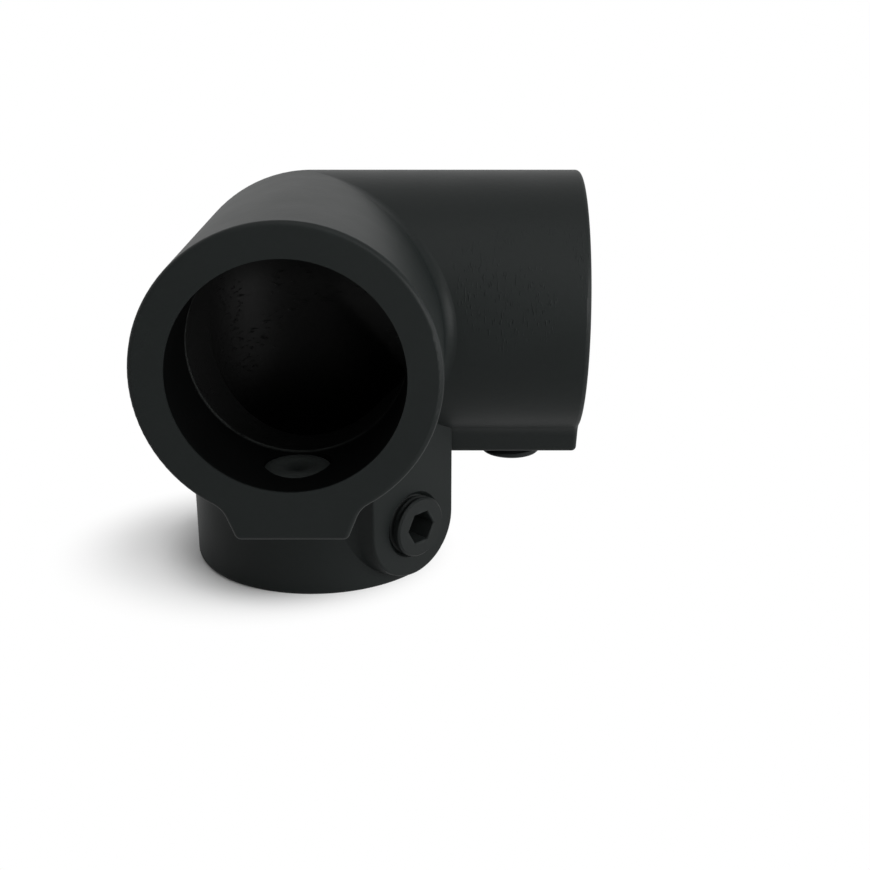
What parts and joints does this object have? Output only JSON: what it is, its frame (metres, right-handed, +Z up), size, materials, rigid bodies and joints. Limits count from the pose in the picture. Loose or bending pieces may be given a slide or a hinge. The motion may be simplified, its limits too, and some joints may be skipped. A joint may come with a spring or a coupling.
{
  "type": "corner tube connector",
  "caption": "Cast corner connector with equal tube sockets at right angles to each other, a raised screw boss on each socket and a hexagon-socket set screw that clamps the tube.",
  "frame": {"origin": "centre of the post socket's mouth, which the connector stands on", "axes": "+Z up the post socket towards the corner, +X out along the side socket, -Y out along the front socket"},
  "size_m": [0.0851, 0.0851, 0.0851],
  "materials": {
    "coated_iron": "matt black powder coat over malleable iron",
    "black_steel": "black coated steel"
  },
  "bodies": {
    "casting": {"corner_casting": "coated_iron"},
    "front_screw": {"front_set_screw": "black_steel"},
    "side_screw": {"side_set_screw": "black_steel"},
    "post_screw": {"post_set_screw": "black_steel"}
  },
  "joints": [
    {"name": "front_screw_travel", "type": "slide", "parent": "casting", "child": "front_screw", "axis": [0, 0, 1], "range_m": [-0.0065, 0.0021]},
    {"name": "side_screw_travel", "type": "slide", "parent": "casting", "child": "side_screw", "axis": [0, 0, 1], "range_m": [-0.0055, 0.0031]},
    {"name": "post_screw_travel", "type": "slide", "parent": "casting", "child": "post_screw", "axis": [-0.7071, 0.7071, 0], "range_m": [-0.0065, 0.0023]}
  ]
}
